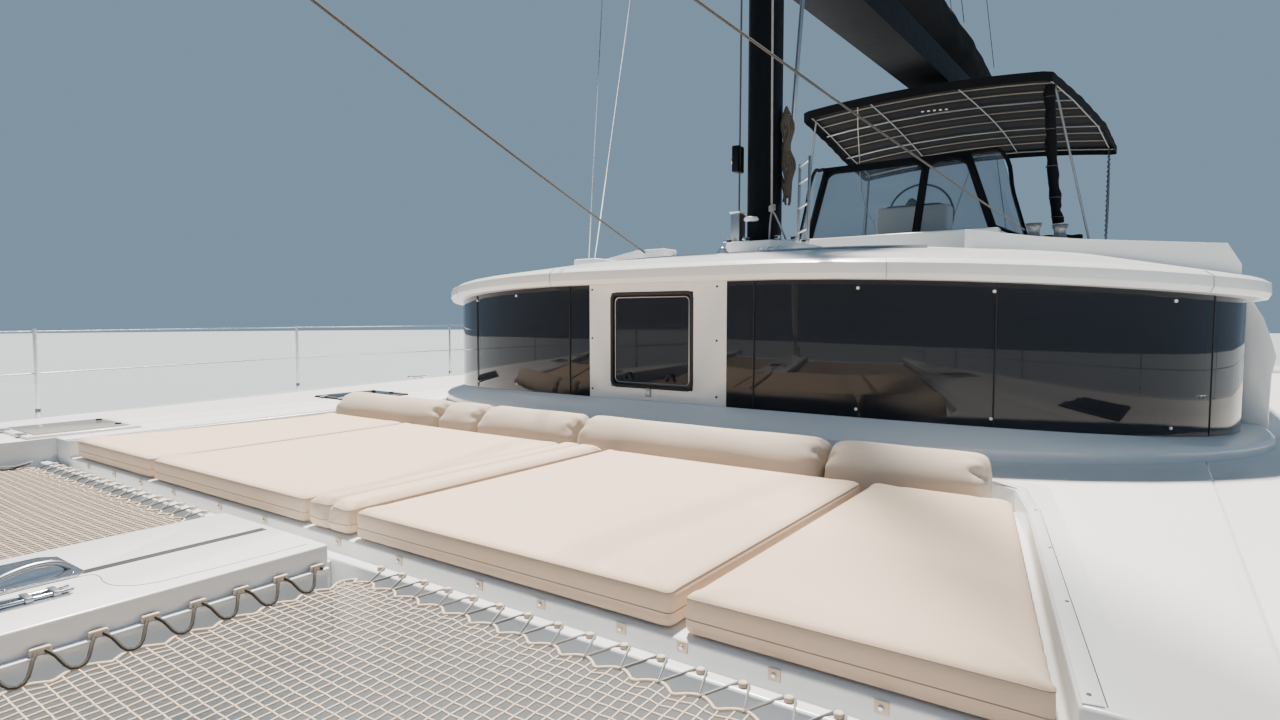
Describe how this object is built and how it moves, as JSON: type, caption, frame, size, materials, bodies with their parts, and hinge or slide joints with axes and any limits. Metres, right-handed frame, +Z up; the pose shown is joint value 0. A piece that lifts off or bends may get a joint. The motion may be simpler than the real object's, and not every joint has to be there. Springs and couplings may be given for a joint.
{
  "type": "sailing catamaran",
  "caption": "Flybridge cruising catamaran with furled headsail, boom with sail bag, bow nets, foredeck sunbed and tinted saloon windows",
  "frame": {"origin": "on the waterline, on the centreline, half way between the bows and the sterns", "axes": "+X forward, +Y to port, +Z up"},
  "size_m": [18.9, 10, 32.45],
  "materials": {
    "gelcoat": "white gelcoat",
    "glass": "dark tinted",
    "canvas": "black woven canvas",
    "cushion": "beige outdoor fabric",
    "net": "knotted rope net",
    "leather": "pale upholstery",
    "wood": "varnished",
    "spar": "black paint",
    "steel": "polished stainless",
    "bronze": "bronze",
    "engine": "painted casting"
  },
  "bodies": {
    "boat": {"hull_port": "gelcoat", "hull_starboard": "gelcoat", "bridgedeck": "gelcoat", "bow_crossbeam": "gelcoat", "longeron": "gelcoat", "trampoline_port": "net", "trampoline_starboard": "net", "coachroof_base": "gelcoat", "centre_panel": "gelcoat", "centre_window": "glass", "front_glass_port": "glass", "front_glass_starboard": "glass", "side_glass_port": "glass", "side_glass_starboard": "glass", "roof": "gelcoat", "aft_bulkhead": "gelcoat", "aft_glass": "glass", "saloon_seat": "leather", "cockpit_seat": "leather", "cockpit_table": "wood", "flybridge_coaming": "gelcoat", "helm_console": "gelcoat", "helm_seat": "leather", "windscreen_frame": "canvas", "windscreen_panel": "glass", "bimini_cover": "canvas", "bimini_frame": "steel", "mast": "spar", "headsail_furled": "canvas", "shrouds_port": "steel", "shrouds_starboard": "steel", "guardrail_port": "steel", "guardrail_starboard": "steel", "sunbed_pad_starboard_outer": "cushion", "sunbed_pad_starboard": "cushion", "sunbed_pad_centre": "cushion", "sunbed_pad_port": "cushion", "sunbed_pad_port_outer": "cushion", "bolster_1": "cushion", "bolster_2": "cushion", "bolster_3": "cushion", "bolster_4": "cushion", "bolster_5": "cushion", "propeller_shaft_port": "steel", "propeller_shaft_starboard": "steel", "engine_port": "engine", "engine_starboard": "engine"},
    "main_boom": {"boom": "spar", "sail_bag": "canvas"},
    "rudder_port": {"rudder_port": "gelcoat"},
    "rudder_starboard": {"rudder_starboard": "gelcoat"},
    "helm_wheel": {"helm_wheel": "steel"},
    "propeller_port": {"propeller_port": "bronze"},
    "propeller_starboard": {"propeller_starboard": "bronze"},
    "saloon_door": {"saloon_door": "glass"},
    "engine_hatch_port": {"engine_hatch_port": "gelcoat"},
    "engine_hatch_starboard": {"engine_hatch_starboard": "gelcoat"},
    "bow_locker_lid_port": {"bow_locker_lid_port": "gelcoat"},
    "bow_locker_lid_starboard": {"bow_locker_lid_starboard": "gelcoat"}
  },
  "joints": [
    {"name": "boom_swing", "type": "hinge", "parent": "boat", "child": "main_boom", "pos_m": [1.065, 0, 5.79], "axis": [0, 0, 1], "range_deg": [-45, 45]},
    {"name": "rudder_port_turn", "type": "hinge", "parent": "boat", "child": "rudder_port", "pos_m": [-8.35, 3.82, -0.8], "axis": [0, 0, 1], "range_deg": [-35, 35]},
    {"name": "rudder_starboard_turn", "type": "hinge", "parent": "boat", "child": "rudder_starboard", "pos_m": [-8.35, -3.82, -0.8], "axis": [0, 0, 1], "range_deg": [-36, 36]},
    {"name": "helm_wheel_turn", "type": "hinge", "parent": "boat", "child": "helm_wheel", "pos_m": [-3.85, -0.1, 4.2], "axis": [1, 0, 0], "range_deg": [-540, 540]},
    {"name": "propeller_port_spin", "type": "hinge", "parent": "boat", "child": "propeller_port", "pos_m": [-7, 3.88, -0.74], "axis": [1, 0, 0], "continuous": true},
    {"name": "propeller_starboard_spin", "type": "hinge", "parent": "boat", "child": "propeller_starboard", "pos_m": [-7, -3.88, -0.74], "axis": [1, 0, 0], "continuous": true},
    {"name": "saloon_door_slide", "type": "slide", "parent": "boat", "child": "saloon_door", "axis": [0, 1, 0], "range_m": [0, 0.88]},
    {"name": "engine_hatch_port_hinge", "type": "hinge", "parent": "boat", "child": "engine_hatch_port", "pos_m": [-5.69, 3.9, 2.1003], "axis": [0, 1, 0], "range_deg": [0, 85]},
    {"name": "engine_hatch_starboard_hinge", "type": "hinge", "parent": "boat", "child": "engine_hatch_starboard", "pos_m": [-5.69, -3.9, 2.1003], "axis": [0, 1, 0], "range_deg": [0, 85]},
    {"name": "bow_locker_port_hinge", "type": "hinge", "parent": "boat", "child": "bow_locker_lid_port", "pos_m": [6.65, 3.255, 2.1003], "axis": [0, 1, 0], "range_deg": [0, 85]},
    {"name": "bow_locker_starboard_hinge", "type": "hinge", "parent": "boat", "child": "bow_locker_lid_starboard", "pos_m": [6.65, -3.255, 2.1003], "axis": [0, 1, 0], "range_deg": [0, 85]}
  ],
  "couplings": [
    {"joint": "rudder_starboard_turn", "follows": "rudder_port_turn", "ratio": 1},
    {"joint": "helm_wheel_turn", "follows": "rudder_port_turn", "ratio": 15.4}
  ]
}
